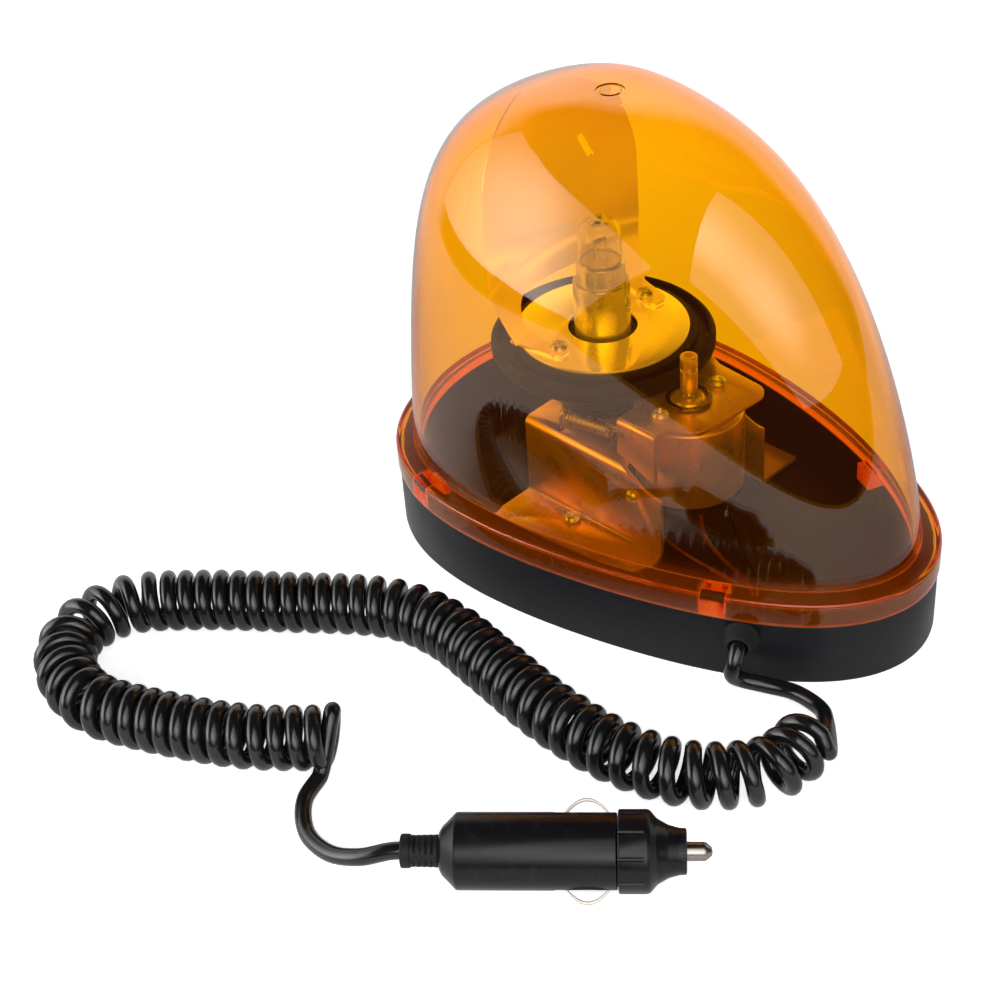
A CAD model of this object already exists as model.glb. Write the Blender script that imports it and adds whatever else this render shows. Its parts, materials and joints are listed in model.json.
"""Looks of the rotating warning beacon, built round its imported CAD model.

Metres, +Z up, in the CAD's own frame: the rotor's axis is X = Y = 0 and the magnet rests on Z = 0. Shown
pieces are rebuilt with fine, rounded surfaces and ride on the CAD's bodies. CAD nodes whose shape is right
get a material.
"""

import json
import math

import bmesh
import bpy
from mathutils import Matrix, Vector

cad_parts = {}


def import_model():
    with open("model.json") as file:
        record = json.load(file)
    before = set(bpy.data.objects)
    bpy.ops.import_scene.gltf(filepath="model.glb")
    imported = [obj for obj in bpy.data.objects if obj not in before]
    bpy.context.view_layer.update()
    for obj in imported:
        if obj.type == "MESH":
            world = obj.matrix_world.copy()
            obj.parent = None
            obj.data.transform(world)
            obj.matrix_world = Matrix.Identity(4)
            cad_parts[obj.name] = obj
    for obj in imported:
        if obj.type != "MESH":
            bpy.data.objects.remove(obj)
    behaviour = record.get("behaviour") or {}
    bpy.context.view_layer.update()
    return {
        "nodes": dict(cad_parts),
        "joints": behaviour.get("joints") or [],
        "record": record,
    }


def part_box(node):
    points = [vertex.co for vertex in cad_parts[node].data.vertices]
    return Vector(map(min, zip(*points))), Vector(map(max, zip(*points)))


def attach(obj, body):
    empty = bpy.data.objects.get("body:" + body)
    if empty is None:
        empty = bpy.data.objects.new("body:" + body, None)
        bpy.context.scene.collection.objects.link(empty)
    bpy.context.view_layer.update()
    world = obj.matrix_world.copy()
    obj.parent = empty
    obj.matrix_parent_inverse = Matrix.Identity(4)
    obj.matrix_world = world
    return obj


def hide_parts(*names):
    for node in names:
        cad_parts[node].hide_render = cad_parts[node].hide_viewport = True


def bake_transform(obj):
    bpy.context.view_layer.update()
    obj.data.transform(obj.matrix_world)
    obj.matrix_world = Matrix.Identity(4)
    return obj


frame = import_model()
JOINTS = {joint["name"]: joint for joint in frame["joints"]}
MOUNTS = {mount["name"]: mount for mount in frame["record"]["mounts"]}

MM = 0.001

# Turns an outline's X and Y into Y and Z, and the prism's run into X.
STAND = Matrix(((0, 0, 1, 0), (1, 0, 0, 0), (0, 1, 0, 0), (0, 0, 0, 1)))

# Teardrop outline of the base: centre, half-length, half-width, taper and shoulder fullness.
EGG_X0 = 25.56 * MM
EGG_A = 89.88 * MM
EGG_B = 59.42 * MM
EGG_TAPER = 0.27
EGG_SHOULDER = 0.041
EGG_STEPS = 240

# Heights, wall offsets and dome exponents of the base and the lens.
BASE_TOP = 20.6 * MM
SKIRT_BOTTOM = 20.9 * MM
LEDGE_UNDER = 26.6 * MM
LEDGE_TOP = 29.03 * MM
DOME_FOOT = -5.1 * MM
DOME_WALL = 2.2 * MM
DOME_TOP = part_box("lens_dome")[1].z
DOME_APEX_X = 5.7 * MM
DOME_FRONT = (1.275, 3.174)
DOME_BACK = (5.016, 2.038)
DOME_SIDE = (1.225, 3.46)
DOME_LEVELS = 90
LUG_ANGLES = (56.0, 124.5, 235.5, 304.0)
LUG_WIDTH = 7.0 * MM
SCREW_IN = 6.0 * MM
LENS_SCREW_HOLE_R = 1.5 * MM
CORD_PASSAGE_R = 3.6 * MM
MAGNET_BOLT_HOLE_R = 2.8 * MM

# The cord: where it leaves the base, its coil, and the points that its centreline passes through.
EXIT_ANGLE = -49.5
EXIT_Z = 16.4 * MM
CORD_R = 2.3 * MM
COIL_R = 6.8 * MM
COIL_Z = COIL_R + CORD_R + 0.1 * MM
COIL_PITCH = 5.05 * MM
STRETCHED_PITCH = 6.5 * MM
STRETCHED_RUN = 110.0 * MM
COIL_STEPS = 28
CLEAR = 0.45 * MM
CORD_LIFT = 0.05 * MM
COIL_COURSE = [
    (119.0, -54.0), (117.5, -70.0), (104.0, -84.0), (84.0, -90.5), (60.0, -91.0), (34.0, -87.5),
    (12.0, -85.0), (-8.0, -89.5), (-34.0, -108.0), (-54.0, -123.5), (-68.5, -139.0), (-69.5, -155.5),
    (-59.5, -167.0), (-43.0, -171.0), (-26.0, -166.0), (1.0, -152.5), (21.0, -136.5),
]
LEAD_COURSE = [
    (88.0, -47.4, 13.0), (87.4, -47.2, 9.0), (88.6, -44.6, 6.2), (94.2, -41.0, 4.9), (102.0, -38.0, 4.7),
    (111.4, -39.4, 5.6), (117.6, -44.8, 7.8),
]
TAIL_COURSE = [
    (23.5, -144.0, 2.8), (27.5, -153.5, 2.15), (36.5, -160.6, 2.3), (47.5, -162.6, 4.0), (57.2, -160.4, 7.4),
]

# The lamp, the rotor and the drive.
BAYONET_TURNS = (-75.0, 105.0)
SCREW_HOLE_R = 1.7 * MM
CHASSIS_SCREWS = ((10.0 * MM, -27.5 * MM), (10.0 * MM, 27.5 * MM))
DISC_SCREW_Y = 19.0 * MM
SHEET = 1.2 * MM
REFLECTOR_HALF = 30.0 * MM
REFLECTOR_SHEET = 0.7 * MM
REFLECTOR_TURN = -5.0
REFLECTOR_LOW = 66.2 * MM
REFLECTOR_HIGH = 135.6 * MM
FLARE_Z = 84.0 * MM
FLARE_RUN = 18.3 * MM
ROUND_Z = 104.0 * MM
ROUND_RUN = 32.6 * MM
MOTOR_SCREW_REACH = 11.6 * MM
MOTOR_SCREW_ANGLE = 85.0

# The studio: the table's directions in plan, the camera, and the levels of what is plain white.
AHEAD = Vector((0.729, -0.684, 0.0))
ASIDE = Vector((0.684, 0.729, 0.0))
CAMERA_PLACE = Vector((0.34505, -0.37122, 0.38365))
CAMERA_RIGHT = Vector((0.71635, 0.69489, -0.06300))
CAMERA_UP = Vector((-0.38325, 0.46731, 0.79671))
CAMERA_BACK = Vector((0.58307, -0.54657, 0.60107))
CAMERA_LENS_MM = 72.0
CAMERA_SENSOR_MM = 36.0
WHITE = (1.0, 1.0, 1.0, 1.0)
PLAIN_LEVEL = 1.15
FAR_LEVEL = 1.35
FAR_LEVEL_MIRRORED = 1.0
NEAR_LEVEL = 0.72
NEAR_LEVEL_MIRRORED = 0.12
WALL_LEVEL = 1.40
ROOM_LEVEL = 0.04

# Places that the CAD gives.
PLUG_AXIS = Vector(JOINTS["plug_nose_slide"]["axis"])
PLUG_LENGTH = 72.0 * MM
PLUG_FACE_RISE = Vector((0, 0, 3.6 * MM))
PLUG_START = Vector(MOUNTS["plug_face"]["pos_m"]) - PLUG_AXIS * PLUG_LENGTH - PLUG_FACE_RISE
SPINDLE = Vector((*JOINTS["spindle_spin"]["pos_m"][:2], 0.0))
SWING_PIVOT = Vector((*JOINTS["motor_swing"]["pos_m"][:2], 0.0))
PLUG_HEADING = Matrix.Rotation(math.atan2(PLUG_AXIS.y, PLUG_AXIS.x), 4, "Z")
PLUG = Matrix.Translation(PLUG_START) @ PLUG_HEADING @ Matrix.Rotation(math.pi / 2, 4, "Y")


# ---- shapes


def rounded(corners, steps=6):
    """An outline whose corners (x, y, radius) become arcs; a radius of 0 keeps a corner sharp."""
    outline = []
    count = len(corners)
    for i, (x, y, radius) in enumerate(corners):
        here = Vector((x, y))
        if radius == 0.0:
            outline.append((x, y))
            continue
        back = (Vector(corners[i - 1][:2]) - here).normalized()
        ahead = (Vector(corners[(i + 1) % count][:2]) - here).normalized()
        half = back.angle(ahead) / 2
        centre = here + (back + ahead).normalized() * radius / math.sin(half)
        start = here + back * radius / math.tan(half) - centre
        sweep = start.angle_signed(here + ahead * radius / math.tan(half) - centre)
        outline += [tuple(centre + Matrix.Rotation(-sweep * k / steps, 2) @ start) for k in range(steps + 1)]
    return outline


def circle(x, y, radius, steps=48):
    angles = [math.tau * k / steps for k in range(steps)]
    return [(x + radius * math.cos(a), y + radius * math.sin(a)) for a in angles]


def scaled(corners):
    """Millimetres to metres, for corners and points of any length."""
    return [tuple(value * MM for value in corner) for corner in corners]


def skinned(rings, closed=False):
    """A bmesh over rings of points, each ring closed; one point alone makes a pole."""
    bm = bmesh.new()
    loops = [[bm.verts.new(point) for point in ring] for ring in rings]
    pairs = list(zip(loops, loops[1:]))
    if closed:
        pairs.append((loops[-1], loops[0]))
    for low, high in pairs:
        for k in range(max(len(low), len(high))):
            n = k + 1
            corners = [low[k % len(low)], low[n % len(low)], high[n % len(high)], high[k % len(high)]]
            bm.faces.new(list(dict.fromkeys(corners)))
    if not closed:
        for end in (loops[0], loops[-1]):
            if len(end) > 2:
                bm.faces.new(end)
    bmesh.ops.recalc_face_normals(bm, faces=bm.faces)
    return bm


def revolved(corners, steps=96, round_steps=4):
    """A bmesh turned about Z from corners (radius, height, rounding) in mm; radius 0 makes a pole."""
    profile = rounded(scaled(corners), round_steps)
    rings = []
    for r, z in profile:
        if r < 0.0001 * MM:
            rings.append([(0.0, 0.0, z)])
        else:
            rings.append([(x, y, z) for x, y in circle(0, 0, r, steps)])
    return skinned(rings, closed=len(rings[0]) > 1)


def prism(outline, low, high, place=None):
    """A bmesh prism on this outline, from low to high along its own Z."""
    bm = skinned([[(x, y, low) for x, y in outline], [(x, y, high) for x, y in outline]])
    bmesh.ops.transform(bm, matrix=place or Matrix(), verts=bm.verts)
    return bm


def rod(start, end, radius, sides=32):
    """A bmesh cylinder from start to end."""
    run = Vector(end) - Vector(start)
    turn = Vector((0, 0, 1)).rotation_difference(run.normalized()).to_matrix().to_4x4()
    return prism(circle(0, 0, radius, sides), 0.0, run.length, Matrix.Translation(start) @ turn)


def from_curve(curve):
    """The curve's mesh as a bmesh, its caps welded."""
    obj = bpy.data.objects.new("guide", curve)
    bpy.context.scene.collection.objects.link(obj)
    bm = evaluated(obj)
    bmesh.ops.remove_doubles(bm, verts=bm.verts, dist=0.002 * MM)
    return bm


def tube(points, radius, sides=5):
    """A bmesh of round wire through these points."""
    curve = bpy.data.curves.new("guide", "CURVE")
    curve.dimensions = "3D"
    curve.bevel_depth = radius
    curve.bevel_resolution = sides
    curve.use_fill_caps = True
    spline = curve.splines.new("POLY")
    spline.points.add(len(points) - 1)
    for point, place in zip(spline.points, points):
        point.co = (*place, 1.0)
    return from_curve(curve)


def plate(outlines, top, thickness, edge):
    """A bmesh of flat sheet with rounded edges: the first outline is its edge, and the others are holes."""
    curve = bpy.data.curves.new("guide", "CURVE")
    curve.dimensions = "2D"
    curve.fill_mode = "BOTH"
    curve.extrude = thickness / 2 - edge
    curve.bevel_depth = edge
    curve.bevel_resolution = 3
    curve.offset = -edge
    for outline in outlines:
        spline = curve.splines.new("POLY")
        spline.points.add(len(outline) - 1)
        for point, (x, y) in zip(spline.points, outline):
            point.co = (x, y, 0.0, 1.0)
        spline.use_cyclic_u = True
    bm = from_curve(curve)
    bmesh.ops.translate(bm, verts=bm.verts, vec=(0, 0, top - thickness / 2))
    return bm


def moved(bm, place):
    bmesh.ops.transform(bm, matrix=place, verts=bm.verts)
    return bm


def to_object(name, bm):
    mesh = bpy.data.meshes.new(name)
    bm.to_mesh(mesh)
    bm.free()
    obj = bpy.data.objects.new(name, mesh)
    bpy.context.scene.collection.objects.link(obj)
    return obj


def evaluated(obj, *helpers):
    """The object with its modifiers applied, as a bmesh; the object and its helpers are removed."""
    bpy.context.view_layer.update()
    mesh = bpy.data.meshes.new_from_object(obj.evaluated_get(bpy.context.evaluated_depsgraph_get()))
    for used in [obj, *helpers]:
        bpy.data.objects.remove(used, do_unlink=True)
    result = bmesh.new()
    result.from_mesh(mesh)
    bpy.data.meshes.remove(mesh)
    return result


def combined(bm, tools, operation="DIFFERENCE"):
    """The bmesh after an exact Boolean with each tool bmesh."""
    obj = to_object("work", bm)
    helpers = [to_object("tool", tool) for tool in tools]
    for helper in helpers:
        made = obj.modifiers.new("Boolean", "BOOLEAN")
        made.operation = operation
        made.object = helper
        made.solver = "EXACT"
    return evaluated(obj, *helpers)


def add_bevel(obj, width):
    """A bevel modifier for the object's sharp edges."""
    bevel = obj.modifiers.new("Bevel", "BEVEL")
    bevel.width = width
    bevel.segments = 2
    bevel.limit_method = "ANGLE"
    bevel.angle_limit = math.radians(40)
    return bevel


def softened(bm, width):
    """The bmesh with its sharp edges rounded."""
    obj = to_object("work", bm)
    add_bevel(obj, width).use_clamp_overlap = True
    return evaluated(obj)


def piece(name, bm, look, body, *nodes, sharp=35):
    """Links a finished shape: its look, the CAD body it rides on, and the CAD nodes it stands for."""
    obj = to_object(name, bm)
    obj.data.shade_smooth()
    obj.data.set_sharp_from_angle(angle=math.radians(sharp))
    obj.data.materials.append(look)
    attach(obj, body)
    if nodes:
        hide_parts(*nodes)
    return obj


# ---- node materials


class Look:
    """A material, or the world, built node by node."""

    def __init__(self, name, owner=None, output="ShaderNodeOutputMaterial"):
        self.material = owner or bpy.data.materials.new(name)
        self.material.use_nodes = True
        self.tree = self.material.node_tree
        self.tree.nodes.clear()
        self.out = self.tree.nodes.new(output)
        self.coordinates = self.add("ShaderNodeTexCoord")
        self.place = self.coordinates.outputs["Object"]

    def add(self, kind, inputs=None, **settings):
        node = self.tree.nodes.new(kind)
        for key, value in settings.items():
            setattr(node, key, value)
        for key, value in (inputs or {}).items():
            if isinstance(value, bpy.types.NodeSocket):
                self.tree.links.new(value, node.inputs[key])
            else:
                node.inputs[key].default_value = value
        return node

    def math(self, operation, a, b=0.0):
        return self.add("ShaderNodeMath", {0: a, 1: b}, operation=operation).outputs[0]

    def noise(self, scale, detail=4.0, stretch=None, roughness=0.5):
        """Noise from 0 to 1 with this many features a metre; stretch scales its axes."""
        place = self.place
        if stretch:
            place = self.add("ShaderNodeMapping", {"Vector": place, "Scale": stretch}).outputs[0]
        inputs = {"Vector": place, "Scale": scale, "Detail": detail, "Roughness": roughness}
        return self.add("ShaderNodeTexNoise", inputs).outputs["Fac"]

    def spread(self, value, low, high, start=0.3, end=0.7):
        """Maps start..end to low..high."""
        inputs = {"Value": value, "From Min": start, "From Max": end, "To Min": low, "To Max": high}
        return self.add("ShaderNodeMapRange", inputs).outputs[0]

    def blend(self, share, a, b):
        """A mix of two colours."""
        a, b = [(*end, 1.0) if isinstance(end, tuple) else end for end in (a, b)]
        return self.add("ShaderNodeMix", {0: share, 6: a, 7: b}, data_type="RGBA").outputs[2]

    def distance(self, place, spot):
        inputs = {0: place, 1: spot}
        return self.add("ShaderNodeVectorMath", inputs, operation="DISTANCE").outputs["Value"]

    def path(self, name):
        """An output of the light path: what kind of ray sees this, or how often it has turned."""
        return self.add("ShaderNodeLightPath").outputs[name]

    def mix(self, share, a, b):
        """A mix of two shaders."""
        return self.add("ShaderNodeMixShader", {0: share, 1: a, 2: b}).outputs[0]

    def bump(self, height, strength, distance):
        inputs = {"Height": height, "Strength": strength, "Distance": distance}
        return self.add("ShaderNodeBump", inputs).outputs[0]

    def edges(self, radius):
        """1 on rounded-off edges and 0 on flat faces."""
        soft = self.add("ShaderNodeBevel", {"Radius": radius}, samples=4).outputs[0]
        true = self.add("ShaderNodeNewGeometry").outputs["Normal"]
        inputs = {0: soft, 1: true}
        level = self.add("ShaderNodeVectorMath", inputs, operation="DOT_PRODUCT").outputs["Value"]
        return self.spread(level, 1.0, 0.0, 0.90, 0.995)

    def surface(self, inputs):
        shader = self.add("ShaderNodeBsdfPrincipled", inputs)
        return self.finish(shader.outputs[0])

    def finish(self, shader):
        self.tree.links.new(shader, self.out.inputs["Surface"])
        return self.material


def black_plastic(name, colour, low, high, grain, wear):
    """Moulded black plastic: fine spark texture, soft sheen changes, and edges rubbed a little lighter."""
    look = Look(name)
    sheen = look.noise(45.0, 3.0)
    fine = look.noise(3800.0, 2.0)
    edge = look.math("MULTIPLY", look.edges(0.5 * MM), look.noise(900.0, 3.0))
    colour_out = look.blend(look.math("MULTIPLY", edge, wear), colour, (0.11, 0.11, 0.115))
    dust = look.spread(look.noise(260.0, 6.0, roughness=0.7), 0.0, 0.05, 0.55, 0.85)
    return look.surface({
        "Base Color": look.blend(dust, colour_out, (0.20, 0.20, 0.21)),
        "Roughness": look.spread(sheen, low, high),
        "Specular IOR Level": 0.22,
        "Normal": look.bump(fine, grain, 0.03 * MM),
    })


def black_rubber():
    look = Look("black_rubber")
    fine = look.noise(2600.0, 4.0)
    patch = look.noise(120.0, 5.0)
    return look.surface({
        "Base Color": look.blend(look.spread(patch, 0.0, 0.5), (0.008, 0.008, 0.009), (0.018, 0.018, 0.019)),
        "Roughness": look.spread(patch, 0.5, 0.7),
        "Specular IOR Level": 0.2,
        "Normal": look.bump(fine, 0.35, 0.04 * MM),
    })


def vinyl(name, colour, second):
    """Cord jacket: glossy, with faint draw marks, soft mottling and a few dull specks."""
    look = Look(name)
    mottle = look.noise(150.0, 4.0)
    fine = look.noise(1800.0, 3.0)
    return look.surface({
        "Base Color": look.blend(look.spread(mottle, 0.0, 1.0), colour, second),
        "Roughness": look.spread(look.noise(420.0, 5.0), 0.12, 0.22),
        "Specular IOR Level": 0.50,
        "Normal": look.bump(fine, 0.12, 0.03 * MM),
    })


def metal(name, colour, second, low, high, stretch=(1.0, 1.0, 1.0), grain=0.08, scale=900.0, metallic=1.0,
          lit=0.0):
    """Plated or turned metal: tone drifts between two colours, and fine marks run along one axis.

    A metallic share below 1 gives the satin sheen of an etched or dusty plate. lit is the light that the
    lens throws back on it, added only where it is seen through the lens.
    """
    look = Look(name)
    drift = look.noise(70.0, 4.0)
    marks = look.noise(scale, 6.0, stretch, 0.65)
    rough = look.math("MULTIPLY", look.spread(marks, 0.0, 1.0), 0.06)
    smudge = look.spread(look.noise(160.0, 5.0), low, high)
    tone = look.blend(look.spread(drift, 0.0, 1.0), colour, second)
    return look.surface({
        "Base Color": tone,
        "Emission Color": look.blend(0.6, tone, (1.0, 0.42, 0.10)),
        "Emission Strength": look.spread(look.path("Transmission Depth"), 0.0, lit, 0.0, 1.0),
        "Metallic": metallic,
        "Roughness": look.math("ADD", smudge, rough),
        "Normal": look.bump(marks, grain, 0.02 * MM),
    })


def ferrite():
    look = Look("ferrite")
    grain = look.noise(1500.0, 6.0)
    return look.surface({
        "Base Color": look.blend(look.spread(grain, 0.0, 1.0), (0.03, 0.03, 0.033), (0.06, 0.06, 0.065)),
        "Roughness": look.spread(grain, 0.5, 0.75),
        "Normal": look.bump(grain, 0.3, 0.05 * MM),
    })


def see_through(look, solid, tint):
    """Lets light fall through the surface, while the camera and mirrors see it solid."""
    clear = look.add("ShaderNodeBsdfTransparent", {"Color": (*tint, 1.0)}).outputs[0]
    share = look.math("MAXIMUM", look.path("Is Shadow Ray"), look.path("Is Diffuse Ray"))
    return look.finish(look.mix(share, solid, clear))


def edge_glow(look):
    """The orange that the lens's acrylic shows where light leaves it: part scattered, part piped there."""
    scattered = {"Color": (1.0, 0.20, 0.010, 1.0)}
    face = look.add("ShaderNodeBsdfDiffuse", scattered).outputs[0]
    body = look.add("ShaderNodeBsdfTranslucent", scattered).outputs[0]
    piped = look.add("ShaderNodeEmission", {"Color": (1.0, 0.17, 0.010, 1.0), "Strength": 0.85}).outputs[0]
    return look.mix(0.55, look.mix(0.5, face, body), piped)


def glow_share(look):
    """Where the lens glows: most at its lugs and rim edges, a little on the ledge, hardly on the dome."""
    height = look.add("ShaderNodeSeparateXYZ", {"Vector": look.place}).outputs["Z"]
    level = look.add("ShaderNodeCombineXYZ", {"Z": height}).outputs[0]
    plan = look.add("ShaderNodeVectorMath", {0: look.place, 1: level}, operation="SUBTRACT").outputs[0]
    near = None
    for angle in LUG_ANGLES:
        spot = egg(math.radians(angle), -4.0 * MM)[0]
        far = look.distance(plan, (spot.x, spot.y, 0.0))
        near = far if near is None else look.math("MINIMUM", near, far)
    below = look.spread(height, 1.0, 0.0, 26.0 * MM, 27.5 * MM)
    lug = look.math("MULTIPLY", look.spread(near, 0.80, 0.0, 4.0 * MM, 5.5 * MM), below)
    rim = look.math("MULTIPLY", look.edges(0.7 * MM), look.spread(height, 0.9, 0.0, 28.5 * MM, 30.0 * MM))
    veil = look.spread(height, 0.07, 0.010, 29.0 * MM, 31.5 * MM)
    return look.math("MAXIMUM", look.math("MAXIMUM", lug, rim), veil)


def amber_acrylic():
    """Clear amber acrylic: the colour deepens with the path in the wall."""
    look = Look("amber_lens")
    haze = look.spread(look.noise(210.0, 5.0), 0.0, 0.022, 0.4, 0.8)
    glass = look.add("ShaderNodeBsdfGlass", {
        "Color": WHITE,
        "Roughness": haze,
        "IOR": 1.49,
        "Normal": look.bump(look.noise(28.0, 2.0), 0.08, 0.25 * MM),
    }).outputs[0]
    absorb = look.add("ShaderNodeVolumeAbsorption", {"Color": (0.9975, 0.8960, 0.0, 1.0), "Density": 1780.0})
    look.tree.links.new(absorb.outputs[0], look.out.inputs["Volume"])
    return see_through(look, look.mix(glow_share(look), glass, edge_glow(look)), (1.0, 1.0, 1.0))


def clear_glass():
    look = Look("clear_glass")
    glass = look.add("ShaderNodeBsdfGlass", {
        "Color": (0.98, 0.985, 0.98, 1.0),
        "Roughness": look.spread(look.noise(300.0, 4.0), 0.0, 0.03, 0.4, 0.8),
        "IOR": 1.5,
        "Normal": look.bump(look.noise(120.0, 2.0), 0.15, 0.2 * MM),
    })
    return see_through(look, glass.outputs[0], (0.97, 0.97, 0.97))


# ---- base and lens


def egg(angle, offset):
    """The teardrop outline at this angle, moved outwards along its normal, and that normal."""
    c, s = math.cos(angle), math.sin(angle)
    x = EGG_X0 + EGG_A * c
    y = EGG_B * (s * (1 - EGG_TAPER * c) + EGG_SHOULDER * math.sin(3 * angle))
    slope_x = -EGG_A * s
    slope_y = EGG_B * (c - EGG_TAPER * math.cos(2 * angle) + 3 * EGG_SHOULDER * math.cos(3 * angle))
    normal = Vector((slope_y, -slope_x)).normalized()
    return Vector((x, y)) + normal * offset, normal


def egg_ring(offset, z):
    points = [egg(math.tau * k / EGG_STEPS, offset)[0] for k in range(EGG_STEPS)]
    return [(p.x, p.y, z) for p in points]


def egg_section(corners):
    """Rings round the teardrop from section corners (offset, height, rounding) in millimetres."""
    return [egg_ring(offset, z) for offset, z in rounded(scaled(corners), 4)]


def dome_ring(level, foot, top):
    """The dome's section at a level from 0 at its foot to 1 at its top."""
    front = (1 - level ** DOME_FRONT[0]) ** (1 / DOME_FRONT[1])
    back = (1 - level ** DOME_BACK[0]) ** (1 / DOME_BACK[1])
    side = (1 - level ** DOME_SIDE[0]) ** (1 / DOME_SIDE[1])
    ring = []
    for x, y, z in egg_ring(foot, LEDGE_TOP):
        run = x - DOME_APEX_X
        ring.append((DOME_APEX_X + run * (front if run > 0 else back), y * side, z + (top - z) * level))
    return ring


def rim_place(angle, offset, z):
    """A frame on the rim at this outline angle: X outwards, Z up."""
    spot, normal = egg(math.radians(angle), offset)
    turn = Matrix.Rotation(math.atan2(normal.y, normal.x), 4, "Z")
    return Matrix.Translation((spot.x, spot.y, z)) @ turn


def rim_block(angle, inner, outer, width, low, high):
    """A block across the rim at this outline angle, between two offsets."""
    half, reach = width / 2, outer - inner
    outline = [(0.0, -half), (reach, -half), (reach, half), (0.0, half)]
    return prism(outline, 0.0, high - low, rim_place(angle, inner, low))


def exit_point(offset):
    """A point on the cord exit's axis, this far outside the base's wall."""
    spot = egg(math.radians(EXIT_ANGLE), offset)[0]
    return Vector((spot.x, spot.y, EXIT_Z))


def base():
    corners = [
        (-3.0, 12.4, 0.8), (-3.0, 25.0, 0.25), (-1.8, 25.0, 0.25), (-1.8, 20.6, 0.2), (0.0, 20.6, 0.35),
        (0.0, 0.0, 0.9), (-2.6, 0.0, 0.5), (-2.6, 10.4, 0.6),
    ]
    bm = skinned(egg_section(corners))
    posts = []
    cutters = []
    for angle in LUG_ANGLES:
        place = rim_place(angle, -SCREW_IN, 0.0)
        post = revolved([(0, 11.6, 0), (3.6, 11.6, 0), (3.6, 20.5, 0.3), (0, 20.5, 0)], 40)
        posts.append(moved(post, place))
        wide = LUG_WIDTH + 0.8 * MM
        cutters.append(rim_block(angle, -4.2 * MM, -1.4 * MM, wide, BASE_TOP - 0.3 * MM, LEDGE_UNDER))
        cutters.append(moved(rod((0, 0, 5 * MM), (0, 0, LEDGE_UNDER), LENS_SCREW_HOLE_R), place))
    cutters.append(rod(exit_point(-9 * MM), exit_point(6 * MM), CORD_PASSAGE_R))
    cutters.append(rod((0, 0, 5 * MM), (0, 0, 15 * MM), MAGNET_BOLT_HOLE_R))
    bm = combined(combined(bm, posts, "UNION"), cutters)
    piece("base_shell", bm, LOOKS["black_abs"], "base", "base_housing")


def lens():
    inner = DOME_FOOT - DOME_WALL
    levels = [1 - (1 - k / DOME_LEVELS) ** 2.4 for k in range(DOME_LEVELS)]
    levels = [level for level in levels if level < 0.9996]
    rim = [(-6.9, 26.6, 0.0), (-1.1, 26.6, 0.5), (-1.1, 20.9, 0.3), (0.5, 20.9, 0.35), (0.5, 29.03, 0.9)]
    rings = [dome_ring(level, inner, DOME_TOP - DOME_WALL) for level in reversed(levels)]
    rings += egg_section(rim)
    rings += [dome_ring(level, DOME_FOOT, DOME_TOP) for level in levels]
    bm = skinned(rings)
    lugs = []
    bores = []
    for angle in LUG_ANGLES:
        lug = rim_block(angle, -9.2 * MM, -0.6 * MM, LUG_WIDTH, SKIRT_BOTTOM, 26.9 * MM)
        lugs.append(softened(lug, 0.4 * MM))
        bore = rod((0, 0, BASE_TOP), (0, 0, 26.0 * MM), LENS_SCREW_HOLE_R)
        bores.append(moved(bore, rim_place(angle, -SCREW_IN, 0.0)))
    gate = [
        (0, -0.26, 0), (2.9, -0.26, 0.1), (3.3, -0.46, 0.15), (4.1, -0.46, 0.15), (4.1, 1.0, 0), (0, 1.0, 0),
    ]
    mark = moved(revolved(gate, 64), Matrix.Translation((DOME_APEX_X, 0, DOME_TOP)))
    bm = combined(combined(bm, lugs, "UNION"), bores + [mark])
    piece("lens_shell", bm, LOOKS["amber_lens"], "lens", "lens_dome", sharp=30)


def grommet():
    corners = [
        (2.65, -4.2, 0.3), (3.3, -4.2, 0.2), (3.3, 0.9, 0.0), (5.2, 0.9, 0.3), (5.2, 1.8, 0.4),
        (4.9, 2.4, 0.5), (3.6, 6.0, 1.0), (3.3, 6.4, 0.3), (2.75, 6.4, 0.3),
    ]
    run = exit_point(1.0) - exit_point(0.0)
    turn = Vector((0, 0, 1)).rotation_difference(run.normalized()).to_matrix().to_4x4()
    bm = moved(revolved(corners, 72), Matrix.Translation(exit_point(0.0)) @ turn)
    piece("grommet_bush", bm, LOOKS["black_rubber"], "base", "cord_grommet")


# ---- chassis, lamp holder and bulb


def pan_head(name, place, head_r, head_h, shank_r, shank_l, body, node, turn=0.0):
    """A pan-head screw in millimetres, with a cross recess, its seat at place."""
    bm = revolved([
        (0, head_h, 0), (head_r * 0.7, head_h, 0.5), (head_r, head_h * 0.45, 0.3), (head_r, 0, 0.12),
        (shank_r, 0, 0), (shank_r, -shank_l, 0.4), (0, -shank_l, 0),
    ], 48)
    arm, half = head_r * 0.62 * MM, head_r * 0.14 * MM
    cross = []
    for quarter in range(4):
        spin = Matrix.Rotation(math.tau * quarter / 4, 2)
        cross += [tuple(spin @ Vector(p)) for p in ((arm, -half), (arm, half), (half, half))]
    bm = combined(bm, [prism(cross, head_h * 0.35 * MM, head_h * 1.5 * MM)])
    bm = moved(bm, Matrix.Translation(place) @ Matrix.Rotation(math.radians(turn), 4, "Z"))
    piece(name, bm, LOOKS["zinc"], body, node)


def sheet_profile(corners, thickness, steps=8):
    """A closed outline of bent sheet from its centreline corners (x, y, bend) in millimetres."""
    line = rounded(scaled(corners), steps)
    left, right = [], []
    for i, point in enumerate(line):
        before, after = Vector(line[max(i - 1, 0)]), Vector(line[min(i + 1, len(line) - 1)])
        run = (after - before).normalized()
        side = Vector((-run.y, run.x)) * thickness / 2
        left.append(tuple(Vector(point) + side))
        right.append(tuple(Vector(point) - side))
    return left + right[::-1]


def along_x(outline, low, high):
    """A prism whose outline lies in Y and Z, from x = low to high."""
    return prism(outline, low, high, STAND)


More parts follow.
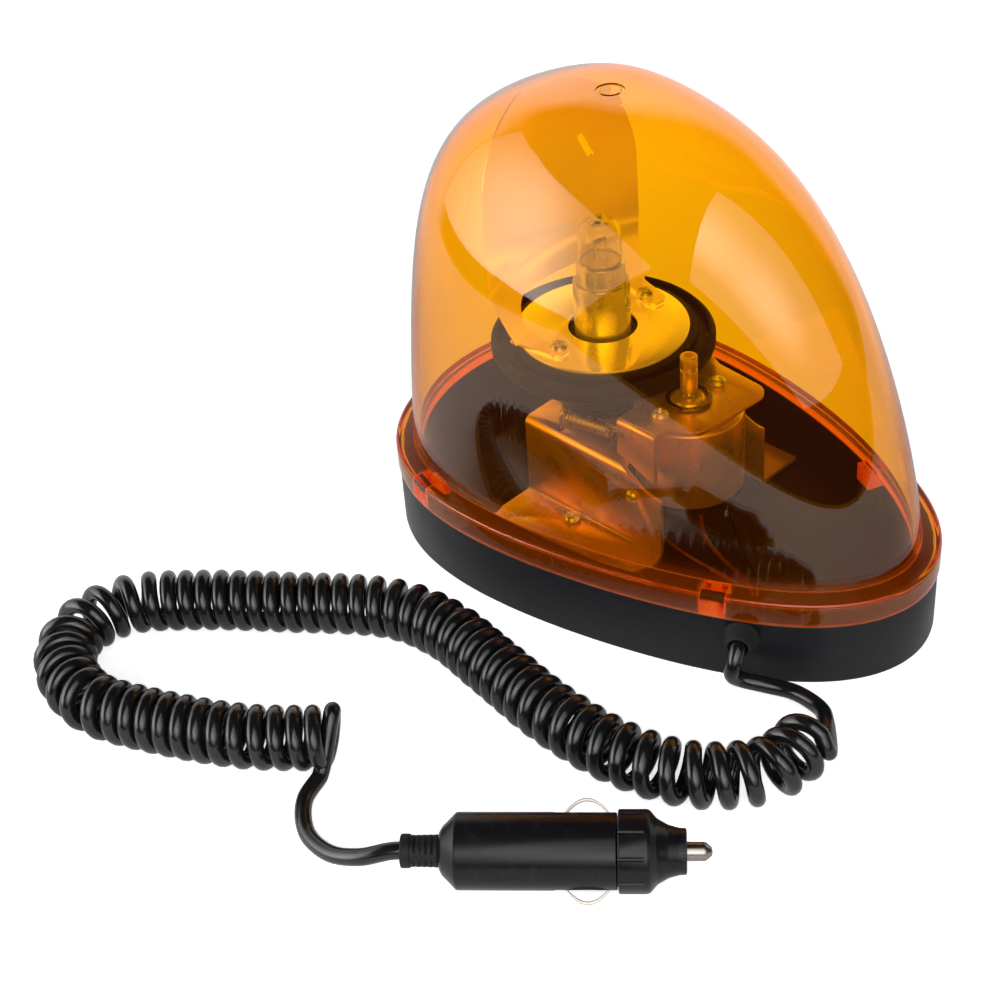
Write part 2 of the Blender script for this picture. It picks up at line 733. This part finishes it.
def along_y(outline, low, high):
    """A prism whose outline lies in X and Z, from y = low to high."""
    return prism(outline, -high, -low, Matrix.Rotation(math.pi / 2, 4, "X"))


def shoulder(x0, z0, x1, z1):
    """An S-shaped edge from one height to another, in metres."""
    shares = [k / 24 for k in range(25)]
    return [(x0 + (x1 - x0) * s, z0 + (z1 - z0) * (3 * s**2 - 2 * s**3)) for s in shares]


def chassis():
    """A bent sheet with feet on the base's floor; its web carries the lamp tube and the motor's pivot."""
    half = [(-40.0, 13.3, 0.0), (-23.4, 13.3, 1.8), (-23.4, 39.9, 1.8)]
    corners = half + [(-y, z, r) for y, z, r in reversed(half)]
    bm = along_x(sheet_profile(corners, SHEET), -11.0 * MM, 42.3 * MM)
    above = shoulder(0.0233, 0.04055, 0.041, 0.0336) + [(0.05, 0.0332), (0.05, 0.05), (0.0233, 0.05)]
    tools = [
        along_y(above, -0.04, 0.04),
        prism(circle(SPINDLE.x, SPINDLE.y, 19.2 * MM, 96), 0.03, 0.05),
        rod((0, 0, 0.03), (0, 0, 0.05), 5.0 * MM),
        rod(SWING_PIVOT + Vector((0, 0, 0.03)), SWING_PIVOT + Vector((0, 0, 0.05)), 2.0 * MM),
        rod((0.0015, -0.0214, 0.03), (0.0015, -0.0214, 0.05), 1.3 * MM),
        rod((0.0315, -0.028, 0.031), (0.0315, -0.020, 0.031), 1.5 * MM),
    ]
    for x, y in CHASSIS_SCREWS:
        tools.append(rod((x, y, 11.4 * MM), (x, y, 15.7 * MM), SCREW_HOLE_R))
    bm = softened(combined(bm, tools), 0.14 * MM)
    piece("chassis_sheet", bm, LOOKS["plated_steel"], "base", "chassis_bracket")
    for (x, y), node in zip(CHASSIS_SCREWS, ("chassis_screw_near", "chassis_screw_far")):
        pan_head(node + "_head", (x, y, 14.2 * MM), 2.5, 1.5, 1.3, 3.2, "base", node, 25.0)
    rivet = revolved([
        (0, 1.0, 0), (1.3, 0.95, 0.5), (2.1, 0.1, 0.1), (1.2, 0, 0), (1.2, -2.2, 0.2), (0, -2.2, 0),
    ])
    place = Matrix.Translation((0.0315, -0.0243, 0.031)) @ Matrix.Rotation(math.pi / 2, 4, "X")
    piece("chassis_rivet_head", moved(rivet, place), LOOKS["zinc"], "base", "chassis_rivet")


def lamp_holder():
    bush = [
        (8.7, 64.4, 0.2), (10.0, 64.4, 0.3), (10.0, 43.4, 0.6), (13.5, 43.4, 0.4), (13.5, 40.8, 0.2),
        (8.7, 40.8, 0),
    ]
    piece("bush_turned", revolved(bush), LOOKS["black_abs"], "base", "bearing_bush")
    bm = revolved([(7.6, 81.2, 0.15), (8.4, 81.2, 0.2), (8.4, 40.8, 0.1), (7.6, 40.8, 0.1)], 128)
    slot = rounded(scaled([
        (-1.3, 85.0, 0), (-1.3, 71.5, 1.2), (4.2, 71.5, 1.2), (4.2, 75.4, 0.9), (1.3, 75.4, 0.5),
        (1.3, 85.0, 0),
    ]))
    tools = []
    for turn in BAYONET_TURNS:
        spin = Matrix.Rotation(math.radians(turn), 4, "Z") @ Matrix.Rotation(math.pi / 2, 4, "X")
        tools.append(prism(slot, 0.005, 0.011, spin))
    piece("lamp_tube_sheet", combined(bm, tools), LOOKS["zinc"], "base", "lamp_tube")


def bulb():
    cap = [(0, 88.3, 0), (6.3, 88.3, 0.4), (7.2, 87.6, 0.4), (7.2, 66.0, 0.6), (0, 66.0, 0)]
    pins = []
    for turn in BAYONET_TURNS:
        out = Matrix.Rotation(math.radians(turn), 3, "Z") @ Vector((0, -1, 0))
        middle = Vector((0, 0, 0.0735))
        pins.append(softened(rod(middle + out * 0.005, middle + out * 0.009, 0.9 * MM), 0.2 * MM))
    piece("bulb_cap_shell", combined(revolved(cap), pins, "UNION"), LOOKS["zinc"], "bulb", "bulb_cap")
    outer = [
        (0, 103.0, 0), (0.9, 102.9, 0.3), (1.5, 101.6, 0.4), (3.4, 100.7, 1.2), (6.0, 99.6, 2.0),
        (6.4, 96.0, 1.0),
    ]
    inside = [
        (6.4, 88.6, 0.2), (5.8, 88.6, 0.1), (5.8, 96.0, 1.2), (5.2, 98.8, 1.6), (3.0, 99.8, 0.8),
        (0, 100.2, 0),
    ]
    piece("bulb_envelope", revolved(outer + inside, 96, 8), LOOKS["clear_glass"], "bulb", "bulb_glass")
    filament()


def filament():
    """A coiled wire between two posts, across the bulb."""
    post, low, level, coil_r = 2.4 * MM, 88.6 * MM, 94.0 * MM, 0.6 * MM
    coil = [(0.0, -post, low), (0.0, -post, level)]
    loops, steps = 9, 16
    for k in range(loops * steps + 1):
        turn = math.tau * k / steps
        run = -post + 2 * post * k / (loops * steps)
        coil.append((coil_r * math.sin(turn), run, level + 0.8 * MM - coil_r * math.cos(turn)))
    coil += [(0.0, post, level), (0.0, post, low)]
    piece("bulb_filament_wire", tube(coil, 0.12 * MM, 3), LOOKS["spring_steel"], "bulb", "bulb_filament")


# ---- rotor and friction drive


def reflector_half(z):
    """The reflector's half-width at a height: narrow at the feet, full by the bulb, rounded at the top."""
    if z < FLARE_Z:
        return REFLECTOR_HALF - 4.0 * MM * (FLARE_Z - z) / FLARE_RUN
    share = min(1.0, max(0.0, (z - ROUND_Z) / ROUND_RUN))
    return REFLECTOR_HALF * (1 - share**2.4) ** (1 / 1.9)


def reflector_point(u, z):
    """A point on the reflecting face, from the distance across it and the height; the feet lean forwards."""
    lean = 8.0 * MM * max(0.0, (FLARE_Z - z) / FLARE_RUN) ** 1.4
    hollow = 7.0 * MM * (u / REFLECTOR_HALF) ** 2
    return Vector((hollow + lean - 22.0 * MM, u, z))


def reflector_blank(facing):
    """The bent sheet before its window, slot and feet."""
    rows, columns = 70, 48
    front, back = [], []
    for i in range(rows + 1):
        z = REFLECTOR_LOW + (REFLECTOR_HIGH - REFLECTOR_LOW) * (1 - (1 - i / rows) ** 1.5)
        half = reflector_half(z)
        line = [reflector_point(half * (2 * k / columns - 1), z) for k in range(columns + 1)]
        front.append([facing @ point for point in line])
        back.append([facing @ (point - Vector((REFLECTOR_SHEET, 0, 0))) for point in line])
    return skinned([near + far[::-1] for near, far in zip(front, back)])


def reflector():
    facing = Matrix.Rotation(math.radians(REFLECTOR_TURN), 4, "Z")
    stand = facing @ STAND
    window = rounded(scaled([(-19, 60, 0), (19, 60, 0), (19, 76, 6), (-19, 76, 6)]), 12)
    slot = rounded(scaled([(-1.2, -4.5, 1.15), (1.2, -4.5, 1.15), (1.2, 4.5, 1.15), (-1.2, 4.5, 1.15)]), 12)
    lean = Matrix.Translation((14.5 * MM, 113.0 * MM, 0)) @ Matrix.Rotation(math.radians(24), 4, "Z")
    tools = [prism(window, -30 * MM, 0, stand), prism(slot, -40 * MM, 0, stand @ lean)]
    feet = []
    for side in (-1, 1):
        corners = [(4.5, 15.5, 2.5), (4.5, 22.5, 2.5), (-12.0, 26.0, 0.0), (-12.0, 19.5, 0.0)]
        outline = rounded(scaled([(x, y * side, r) for x, y, r in corners]), 10)
        feet.append(prism(outline, 66.0 * MM, 66.8 * MM, facing))
        y = side * DISC_SCREW_Y
        tools.append(rod((0, y, 64 * MM), (0, y, 70 * MM), SCREW_HOLE_R))
    bm = combined(combined(reflector_blank(facing), feet, "UNION"), tools)
    piece("reflector_sheet", bm, LOOKS["satin"], "rotor", "reflector", sharp=40)


def disc_screw_holes():
    return [rod((0, y, 58 * MM), (0, y, 68 * MM), SCREW_HOLE_R) for y in (-DISC_SCREW_Y, DISC_SCREW_Y)]


def rotor():
    wheel = revolved([
        (10.3, 64.6, 0.2), (28.0, 64.6, 0.3), (28.0, 62.5, 0.2), (30.9, 62.5, 0.3), (30.9, 59.6, 0.4),
        (26.0, 59.6, 0.4), (26.0, 61.6, 0.3), (14.0, 61.6, 0.6), (14.0, 43.8, 0.4), (10.3, 43.8, 0.2),
    ], 128)
    tyre = revolved([
        (31.2, 64.4, 0.2), (32.0, 64.4, 0.5), (33.4, 62.8, 0.7), (33.4, 60.2, 0.7), (32.6, 59.2, 0.4),
        (31.2, 59.2, 0.2),
    ], 160)
    disc = revolved([(10.3, 65.7, 0.15), (25.7, 65.7, 0.2), (25.7, 64.9, 0.1), (10.3, 64.9, 0.1)], 160)
    piece("pulley_wheel", combined(wheel, disc_screw_holes()), LOOKS["black_abs"], "rotor", "rotor_pulley")
    piece("tyre_ring", tyre, LOOKS["black_rubber"], "rotor", "friction_tyre")
    piece("disc_mirror", combined(disc, disc_screw_holes()), LOOKS["chrome"], "rotor", "rotor_disc")
    for side, node in ((-1, "disc_screw_near"), (1, "disc_screw_far")):
        seat = (0, side * DISC_SCREW_Y, 67.1 * MM)
        pan_head(node + "_head", seat, 2.7, 1.6, 1.3, 6.5, "rotor", node, 18.0 * side)
    reflector()


def motor_spots():
    angle = math.radians(MOTOR_SCREW_ANGLE)
    reach = Vector((math.cos(angle), math.sin(angle), 0.0)) * MOTOR_SCREW_REACH
    return [SPINDLE - reach, SPINDLE + reach]


def at_spindle(corners, steps=96):
    return moved(revolved(corners, steps), Matrix.Translation(SPINDLE))


def motor_plate():
    corners = [
        (26.3, -23.0, 0.0), (40.4, -23.0, 0.0), (40.6, -19.2, 0.6), (49.6, -15.0, 9.0), (51.5, 14.6, 5.0),
        (31.0, 16.5, 3.0), (20.0, 22.0, 4.0), (12.0, 21.0, 4.0), (13.5, 13.0, 4.0), (26.3, -2.0, 3.0),
    ]
    holes = [circle(SWING_PIVOT.x, SWING_PIVOT.y, 2.3 * MM), circle(SPINDLE.x, SPINDLE.y, 5.2 * MM, 72)]
    holes += [circle(spot.x, spot.y, 1.5 * MM) for spot in motor_spots()]
    bm = plate([rounded(scaled(corners), 10)] + holes, 56 * MM, SHEET, 0.12 * MM)
    bend = sheet_profile([(-22.2, 55.4, 0.0), (-23.4, 55.4, 1.1), (-23.4, 38.0, 0.0)], SHEET)
    flange = along_x(bend, 26.3 * MM, 40.4 * MM)
    below = shoulder(0.025, 0.0442, 0.041, 0.0394) + [(0.041, 0.030), (0.025, 0.030)]
    flange = softened(combined(flange, [along_y(below, -30 * MM, -15 * MM)]), 0.12 * MM)
    piece("motor_plate_flange", flange, LOOKS["plated_steel"], "motor", "motor_plate")
    piece("motor_plate_sheet", bm, LOOKS["plated_steel"], "motor", "motor_plate")


def motor():
    can = at_spindle([(0, 54.5, 0), (15.0, 54.5, 0.8), (16.0, 53.6, 0.9), (16.0, 28.3, 0.3), (0, 28.3, 0)])
    piece("motor_can_shell", can, LOOKS["plated_steel"], "motor", "motor_can")
    boss = [(1.5, 57.2, 0.2), (4.3, 57.2, 0.5), (4.9, 56.4, 0.2), (4.9, 54.8, 0.1), (1.5, 54.8, 0.1)]
    piece("motor_boss_turned", at_spindle(boss), LOOKS["brass"], "motor", "motor_boss")
    ring = [(5.4, 57.0, 0.2), (6.8, 57.0, 0.25), (6.8, 56.3, 0.1), (5.4, 56.3, 0.1)]
    piece("boss_ring_turned", at_spindle(ring), LOOKS["nickel"], "motor", "boss_ring")
    for spot, node in zip(motor_spots(), ("motor_screw_near", "motor_screw_far")):
        seat = (spot.x, spot.y, 56.3 * MM)
        pan_head(node + "_head", seat, 2.5, 1.4, 1.1, 5.0, "motor", node, 40.0)


def spindle_and_pivot():
    roller = [
        (1.3, 71.0, 0.1), (2.5, 71.0, 0.3), (2.5, 67.2, 0.1), (2.2, 67.0, 0.05), (2.2, 66.6, 0.05),
        (2.5, 66.4, 0.1), (2.5, 59.6, 0.3), (1.3, 59.6, 0.1),
    ]
    piece("spindle_roller", at_spindle(roller), LOOKS["brass"], "spindle", "drive_spindle")
    pin = revolved([
        (0, 58.0, 0), (1.7, 58.0, 0.4), (1.7, 37.0, 0), (3.2, 37.0, 0.2), (3.2, 36.0, 0.2), (0, 36.0, 0),
    ], 64)
    pin = moved(pin, Matrix.Translation(SWING_PIVOT))
    piece("swing_pin_turned", pin, LOOKS["nickel"], "base", "swing_pin")


def spring():
    """The tension spring, from the chassis to the motor plate; it stretches between the two bodies."""
    start, end = Vector((0.004, -0.0196, 0.0444)), Vector((0.019, -0.0186, 0.0456))
    run = (end - start).normalized()
    side = run.cross(Vector((0, 0, 1))).normalized()
    up = side.cross(run)
    turns, steps = 14, 24
    coil = []
    for k in range(turns * steps + 1):
        turn = math.tau * k / steps
        centre = start.lerp(end, k / (turns * steps))
        coil.append(centre + 1.9 * MM * (math.cos(turn) * side + math.sin(turn) * up))
    hook = [(1.5, -21.4, 38.2), (1.5, -21.4, 41.5), (1.3, -21.2, 44.6), (2.2, -20.6, 46.0)]
    hook = curve_through([Vector(p) * MM for p in hook], 0.4 * MM)
    centre = Vector((0.0226, -0.018, 0.0466))
    loop = []
    for k in range(45):
        turn = math.radians(170 - 31 * k / 4)
        loop.append(centre + 2.9 * MM * (math.cos(turn) * run + math.sin(turn) * (side * 0.6 + up * 0.8)))
    obj = to_object("tension_spring_wire", tube(hook + coil + loop, 0.36 * MM, 4))
    obj.data.shade_smooth()
    obj.data.materials.append(LOOKS["spring_steel"])
    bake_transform(obj)
    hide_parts("tension_spring")


# ---- cord and plug


def curve_through(points, spacing):
    """A Catmull-Rom curve through these points, sampled about this far apart."""
    found = []
    for i in range(len(points) - 1):
        a = points[max(i - 1, 0)]
        b, c = points[i], points[i + 1]
        d = points[min(i + 2, len(points) - 1)]
        steps = max(1, round((c - b).length / spacing))
        square, cube = 2 * a - 5 * b + 4 * c - d, 3 * b - a - 3 * c + d
        for k in range(steps):
            t = k / steps
            found.append(0.5 * (2 * b + (c - a) * t + square * t**2 + cube * t**3))
    found.append(points[-1])
    return found


def bend_at(path, i, reach):
    """The path's curvature about its i-th point."""
    a, b, c = path[max(i - reach, 0)], path[i], path[min(i + reach, len(path) - 1)]
    if (b - a).length < MM or (c - b).length < MM:
        return 0.0
    return (b - a).angle(c - b) * 2 / ((b - a).length + (c - b).length)


def coil_points(course, steps):
    """A helix about a level course: stretched at its start, and wider in bends, where turns would touch."""
    path = curve_through([Vector((x * MM, y * MM, COIL_Z)) for x, y in course], 0.05 * MM)
    points, turn, along = [], 0.0, 0.0
    for i in range(len(path) - 1):
        if turn >= len(points) * math.tau / steps:
            ahead = (path[i + 1] - path[i]).normalized()
            side = Vector((-ahead.y, ahead.x, 0.0))
            spin = len(points) * math.tau / steps
            points.append(path[i] + COIL_R * (math.cos(spin) * side + math.sin(spin) * Vector((0, 0, 1))))
        inside = (2 * CORD_R + CLEAR) / (1 - COIL_R * bend_at(path, i, 60))
        run = (path[i + 1] - path[i]).length
        along += run
        slack = max(0.0, 1 - along / STRETCHED_RUN)
        open_pitch = COIL_PITCH + (STRETCHED_PITCH - COIL_PITCH) * min(1.0, 2 * slack)
        turn += math.tau * run / max(open_pitch, inside)
    return points


def cord():
    """One cord: out through the grommet, along the coil and into the plug's sleeve."""
    coil = coil_points(COIL_COURSE, COIL_STEPS)
    lead = [exit_point(reach * MM) for reach in (-12, -5, 0, 4, 7)]
    lead += [Vector(p) * MM for p in LEAD_COURSE]
    ease = COIL_STEPS // 6
    lead = curve_through(lead + [coil[0], coil[ease]], 0.8 * MM)[:-1]
    inside, mouth = PLUG @ Vector((0, 0, 7.0 * MM)), PLUG @ Vector((0, 0, -2.0 * MM))
    tail = [coil[-1 - ease], coil[-1]] + [Vector(p) * MM for p in TAIL_COURSE] + [mouth, inside]
    tail = curve_through(tail, 0.8 * MM)[1:]
    middle = coil[ease:len(coil) - ease - 1]
    for point in lead + tail:
        point.z = max(point.z, CORD_R + CORD_LIFT)
    bm = tube(lead + middle + tail, CORD_R, 6)
    piece("cord_run", bm, LOOKS["black_vinyl"], "base", "coiled_cord", sharp=60)


def turned_plug(corners, steps=128):
    return moved(revolved(corners, steps), PLUG)


def side_direction(side):
    """The direction, across the plug, in which a side contact stands out."""
    tilt = math.radians(42.0)
    return Vector((-math.sin(tilt) * side, math.cos(tilt) * side, 0.0))


def side_strip(name, side, body, node):
    """A bowed spring strip, its ends inside the plug."""
    out = side_direction(side)
    across = out.cross(Vector((0, 0, 1)))
    wide, thick, edge = 1.5 * MM, 0.8 * MM, 0.15 * MM
    section = [(0, -wide, edge), (0, wide, edge), (-thick, wide, edge), (-thick, -wide, edge)]
    rings = []
    steps = 60
    for k in range(steps + 1):
        share = k / steps
        bow = 7.6 * MM + 5.6 * MM * math.sin(math.pi * share) ** 0.75
        middle = Vector((0, 0, 40.5 * MM + 13.3 * MM * share)) + out * bow
        rings.append([PLUG @ (middle + out * level + across * run) for level, run in rounded(section, 3)])
    piece(name, skinned(rings), LOOKS["nickel"], body, node)


def plug_sleeve():
    sleeve = turned_plug([
        (3.4, 9.6, 0), (4.15, 9.6, 0.1), (4.0, 2.5, 0.15), (4.35, 2.4, 0.25), (4.35, 0.0, 0.4),
        (2.65, 0.0, 0.3), (2.65, 15.0, 0), (3.4, 15.0, 0),
    ], 96)
    slots = []
    for turn in (-90, 0, 90, 180):
        spin = Matrix.Rotation(math.radians(turn + 20), 4, "Z")
        outline = rounded(scaled([(3.3, -2.4, 0), (6.0, -2.4, 0), (6.0, 2.4, 0), (3.3, 2.4, 0)]))
        for level in (3.4, 4.9, 6.4, 7.9):
            slots.append(prism(outline, level * MM, (level + 0.7) * MM, PLUG @ spin))
    piece("sleeve_ribs", combined(sleeve, slots), LOOKS["black_rubber"], "base", "plug_sleeve")


def plug_body():
    """The plug's shell, with an opening for each side contact."""
    shell = turned_plug([
        (6.1, 60.0, 0.2), (6.1, 54.6, 0.1), (9.8, 54.6, 0.25), (9.8, 14.2, 0.9), (6.2, 10.6, 1.6),
        (5.0, 9.9, 0.3), (3.7, 9.9, 0.2), (3.7, 16.5, 0), (7.0, 16.5, 0), (7.0, 53.2, 0), (5.1, 54.4, 0),
        (5.1, 60.0, 0.1),
    ])
    openings = []
    for side in (1, -1):
        out = side_direction(side)
        across = Vector((0, 0, 1)).cross(out)
        facing = Matrix((across, Vector((0, 0, 1)), out)).transposed().to_4x4()
        place = PLUG @ Matrix.Translation(out * 5.6 * MM + Vector((0, 0, 47.2 * MM))) @ facing
        outline = rounded(scaled([(-1.9, -8.5, 0.8), (1.9, -8.5, 0.8), (1.9, 8.5, 0.8), (-1.9, 8.5, 0.8)]))
        openings.append(prism(outline, 0.0, 6.0 * MM, place))
    piece("plug_shell", combined(shell, openings), LOOKS["plug_abs"], "base", "plug_body")


def notches(count, shift, out, low, high, radius, sides):
    """Rods along the plug, spaced round it at a radius, to cut notches with."""
    found = []
    for k in range(count):
        spot = Matrix.Rotation(math.tau * (k + shift) / count, 4, "Z") @ Vector((out, 0, 0))
        ends = [PLUG @ (spot + Vector((0, 0, level))) for level in (low, high)]
        found.append(rod(*ends, radius, sides))
    return found


def plug_nose():
    nose = turned_plug([
        (5.3, 72.0, 0.1), (5.75, 71.8, 0.15), (5.9, 70.0, 2.0), (6.6, 67.4, 3.0), (8.2, 64.6, 3.0),
        (10.2, 62.9, 0.3), (10.5, 62.2, 0.3), (10.5, 54.9, 0.45), (6.4, 54.9, 0.1), (6.4, 65.0, 0),
        (2.7, 65.0, 0), (2.7, 72.0, 0.15),
    ])
    grooves = notches(10, 0.5, 10.95 * MM, 53.9 * MM, 61.4 * MM, 0.8 * MM, 24)
    grooves += notches(28, 0.0, 6.0 * MM, 70.8 * MM, 73.0 * MM, 0.26 * MM, 12)
    piece("plug_cap", combined(nose, grooves), LOOKS["plug_abs"], "plug_nose", "plug_nose")


def plug_contacts():
    tip = [
        (0, 78.4, 0), (1.1, 78.2, 0.5), (2.4, 76.6, 1.4), (2.4, 64.4, 0), (4.8, 64.4, 0.2), (4.8, 62.8, 0.2),
        (3.2, 62.4, 0), (3.2, 60.2, 0.2), (0, 60.2, 0),
    ]
    piece("plug_pin", turned_plug(tip, 64), LOOKS["nickel"], "plug_tip", "plug_tip")
    side_strip("side_strip_upper", 1, "side_contact_upper", "side_contact_upper")
    side_strip("side_strip_lower", -1, "side_contact_lower", "side_contact_lower")


# ---- CAD pieces that are right as they are


def dress_nodes():
    """Gives the kept CAD nodes a material by what they are made of."""
    kept = {
        "black_abs": ("motor_end_cap", "contact_insulator"),
        "black_rubber": ("rubber_pad", "lens_gasket"),
        "plated_steel": ("magnet_yoke",),
        "zinc": ("magnet_bolt", "magnet_nut", *(f"lens_screw_{k}" for k in range(1, 5))),
        "spring_steel": ("contact_spring", "plug_spring", "motor_shaft"),
        "brass": ("contact_plunger", "swing_spacer"),
        "ferrite": ("magnet_ring",),
        "clear_glass": ("plug_fuse",),
        "red_vinyl": ("lamp_lead", "motor_lead"),
        "black_vinyl": ("earth_lead",),
    }
    for look, nodes in kept.items():
        for name in nodes:
            node = frame["nodes"][name]
            for slot in node.material_slots:
                slot.material = LOOKS[look]
            add_bevel(node, 0.12 * MM)


# ---- studio and camera


def emitter(name, low, high, spots, reach):
    """A softbox's light, brighter in front of its lamps and dimmer for what is seen through the lens."""
    look = Look(name)
    level = None
    for spot in spots:
        away = look.distance(look.place, spot)
        near = look.add("ShaderNodeMapRange", {
            "Value": away, "From Min": 0.0, "From Max": reach, "To Min": high, "To Max": low,
        }, interpolation_type="SMOOTHSTEP").outputs[0]
        level = near if level is None else look.math("MAXIMUM", level, near)
    inside = look.spread(look.path("Transmission Depth"), 1.0, 0.55, 0.0, 1.0)
    strength = look.math("MULTIPLY", level, inside)
    shader = look.add("ShaderNodeEmission", {"Color": (1.0, 0.985, 0.97, 1.0), "Strength": strength})
    return look.finish(shader.outputs[0])


def sheet(name, corners, look):
    bm = bmesh.new()
    bm.faces.new([bm.verts.new(corner) for corner in corners])
    bmesh.ops.subdivide_edges(bm, edges=bm.edges, cuts=3, use_grid_fill=True)
    obj = to_object(name, bm)
    obj.data.materials.append(look)
    return obj


def softboxes():
    """Two tall softboxes: one at the left, and one behind the camera at the right."""
    left = [(-0.666, -0.216, 0.045), (-0.361, -1.518, -0.073), (0.136, -3.66, 0.90), (-0.666, -0.216, 0.70)]
    lamps = [(-0.495, -0.940, 0.22)]
    light = emitter("softbox_left_light", 1.3, 6.0, lamps, 0.85)
    sheet("softbox_left", left, light).visible_camera = False
    centre, unit = Vector((0.070, -0.015, 0.110)), 0.65
    right = [(0.2365, -0.1718, 0.956), (0.4895, -2.519, 0.640), (2.443, -1.841, 0.0), (2.191, 0.506, 0.3155)]
    lamps = [centre + Vector(p) * unit for p in ((0.41, -1.07, 0.81), (1.055, -0.98, 0.58))]
    light = emitter("softbox_right_light", 1.5, 5.0, lamps, 0.60)
    sheet("softbox_right", [centre + Vector(p) * unit for p in right], light).visible_camera = False


def floor():
    """A white table: its front edge lies towards the camera, and it runs on to the back and the right."""
    look = Look("table_white")
    tone = look.blend(look.spread(look.noise(14.0, 5.0), 0.0, 1.0), (0.86, 0.87, 0.88), (0.90, 0.905, 0.91))
    mirrored = look.path("Glossy Depth")
    near = look.add("ShaderNodeBsdfPrincipled", {
        "Base Color": tone,
        "Roughness": 0.6,
        "Normal": look.bump(look.noise(900.0, 3.0), 0.05, 0.05 * MM),
        "Emission Color": WHITE,
        "Emission Strength": look.spread(mirrored, NEAR_LEVEL, NEAR_LEVEL_MIRRORED, 0.0, 1.0),
    }).outputs[0]
    level = look.spread(mirrored, FAR_LEVEL, FAR_LEVEL_MIRRORED, 0.0, 1.0)
    far = look.add("ShaderNodeEmission", {"Color": WHITE, "Strength": level}).outputs[0]
    away = look.distance(look.place, (0.02, -0.06, 0.0))
    look.finish(look.mix(look.spread(away, 0.0, 1.0, 0.20, 0.36), near, far))
    spots = [(0.31, -0.55), (0.31, 3.0), (-3.0, 3.0), (-3.0, -0.55)]
    sheet("table", [AHEAD * a + ASIDE * b for a, b in spots], look.material)


def world():
    """A white backdrop and a dim room elsewhere; the camera sees plain white, also through the lens."""
    bpy.context.scene.world = bpy.data.worlds.new("studio")
    look = Look("studio", bpy.context.scene.world, "ShaderNodeOutputWorld")
    direction = look.coordinates.outputs["Generated"]
    inputs = {0: direction, 1: (-0.684, 0.729, 0.0)}
    behind = look.add("ShaderNodeVectorMath", inputs, operation="DOT_PRODUCT").outputs["Value"]
    rise = look.add("ShaderNodeSeparateXYZ", {0: direction}).outputs["Z"]
    sector = look.spread(behind, 0.0, 1.0, 0.36, 0.52)
    share = look.math("MULTIPLY", sector, look.spread(rise, 1.0, 0.0, 0.46, 0.66))
    wall = look.spread(share, ROOM_LEVEL, WALL_LEVEL, 0.0, 1.0)
    bounces = look.math("ADD", look.path("Glossy Depth"), look.path("Diffuse Depth"))
    straight = look.spread(bounces, 1.0, 0.0, 0.0, 1.0)
    through = look.math("MULTIPLY", look.path("Is Transmission Ray"), straight)
    plain = look.math("MAXIMUM", look.path("Is Camera Ray"), through)
    level = look.add("ShaderNodeMix", {0: plain, 2: wall, 3: PLAIN_LEVEL}).outputs[0]
    look.finish(look.add("ShaderNodeBackground", {"Strength": level}).outputs[0])


def camera():
    data = bpy.data.cameras.new("view")
    data.lens = CAMERA_LENS_MM
    data.sensor_width = CAMERA_SENSOR_MM
    data.clip_start = 0.01
    data.clip_end = 20.0
    obj = bpy.data.objects.new("view", data)
    turn = Matrix((CAMERA_RIGHT, CAMERA_UP, CAMERA_BACK)).transposed().to_4x4()
    obj.matrix_world = Matrix.Translation(CAMERA_PLACE) @ turn
    bpy.context.scene.collection.objects.link(obj)
    bpy.context.scene.camera = obj


LOOKS = {
    "black_abs": black_plastic("black_abs", (0.007, 0.007, 0.009), 0.34, 0.46, 0.10, 0.30),
    "amber_lens": amber_acrylic(),
    "black_rubber": black_rubber(),
    "black_vinyl": vinyl("black_vinyl", (0.004, 0.004, 0.0045), (0.008, 0.008, 0.009)),
    "red_vinyl": vinyl("red_vinyl", (0.16, 0.035, 0.012), (0.22, 0.05, 0.016)),
    "zinc": metal("zinc", (0.86, 0.82, 0.72), (0.76, 0.75, 0.74), 0.18, 0.32, metallic=0.85, lit=0.08),
    "plated_steel": metal(
        "plated_steel", (0.95, 0.66, 0.28), (0.84, 0.54, 0.24), 0.22, 0.34, (1.0, 14.0, 14.0),
        metallic=0.92, lit=0.03,
    ),
    "spring_steel": metal("spring_steel", (0.62, 0.60, 0.56), (0.74, 0.70, 0.62), 0.16, 0.28),
    "chrome": metal(
        "chrome", (0.93, 0.92, 0.90), (0.90, 0.88, 0.85), 0.02, 0.07, grain=0.02, scale=300.0, lit=0.34,
    ),
    "brass": metal("brass", (0.80, 0.55, 0.24), (0.86, 0.64, 0.32), 0.20, 0.32, (1.0, 1.0, 12.0), lit=0.12),
    "nickel": metal("nickel", (0.34, 0.31, 0.28), (0.27, 0.25, 0.225), 0.20, 0.30, grain=0.04),
    "ferrite": ferrite(),
    "clear_glass": clear_glass(),
}
LOOKS["satin"] = metal(
    "satin", (0.94, 0.82, 0.66), (0.90, 0.76, 0.58), 0.10, 0.16, grain=0.02, scale=300.0,
    metallic=0.6, lit=0.36,
)
LOOKS["plug_abs"] = black_plastic("plug_abs", (0.006, 0.0055, 0.007), 0.20, 0.30, 0.10, 0.25)

base()
lens()
grommet()
chassis()
lamp_holder()
bulb()
rotor()
motor_plate()
motor()
spindle_and_pivot()
spring()
cord()
plug_sleeve()
plug_body()
plug_nose()
plug_contacts()
dress_nodes()
softboxes()
floor()
world()
camera()

scene = bpy.context.scene
scene.view_settings.view_transform = "Standard"
scene.cycles.transparent_max_bounces = 32
scene.cycles.max_bounces = 24
scene.cycles.transmission_bounces = 20
scene.cycles.glossy_bounces = 8
